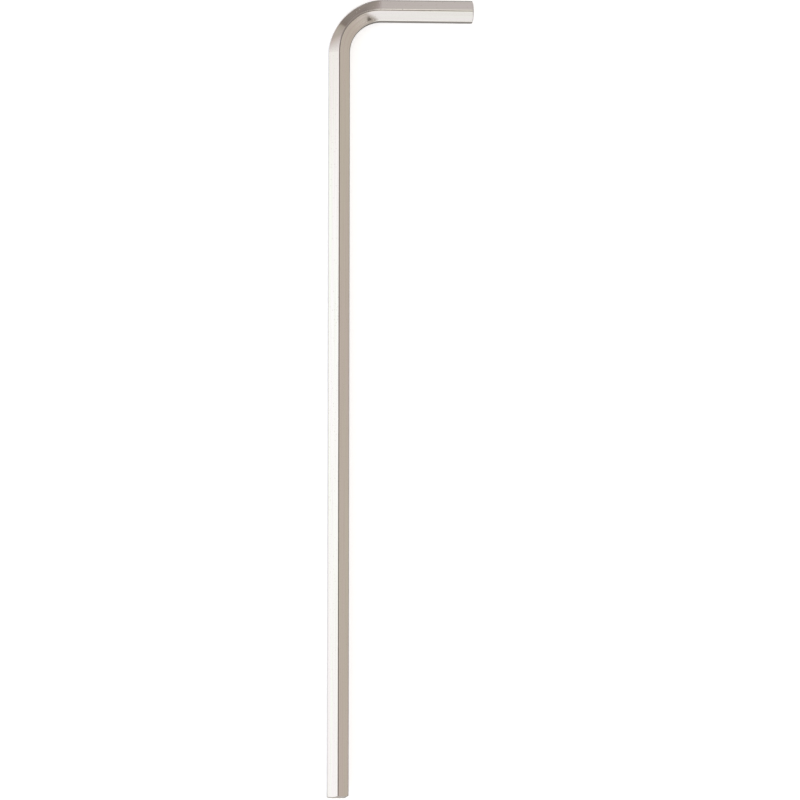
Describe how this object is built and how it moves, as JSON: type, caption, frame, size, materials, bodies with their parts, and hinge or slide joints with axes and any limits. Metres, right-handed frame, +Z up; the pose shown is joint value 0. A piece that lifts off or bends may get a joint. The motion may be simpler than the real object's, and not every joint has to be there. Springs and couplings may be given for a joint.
{
  "type": "hex key",
  "caption": "Long-arm hex key: a plated hexagonal steel bar bent at a right angle, with a chamfered hexagonal end on each arm for turning socket screws.",
  "frame": {"origin": "on the surface the key lies on, under the middle of its bounding box", "axes": "+Y along the long arm towards the bend, +X along the short arm towards its tip, +Z up, square to the plane of the bend"},
  "size_m": [0.027, 0.148, 0.0045],
  "materials": {
    "plated_steel": "bright nickel plate over drawn bar, with faint lengthwise drawing lines"
  },
  "bodies": {
    "root": {"hex_key": "plated_steel"}
  },
  "joints": []
}
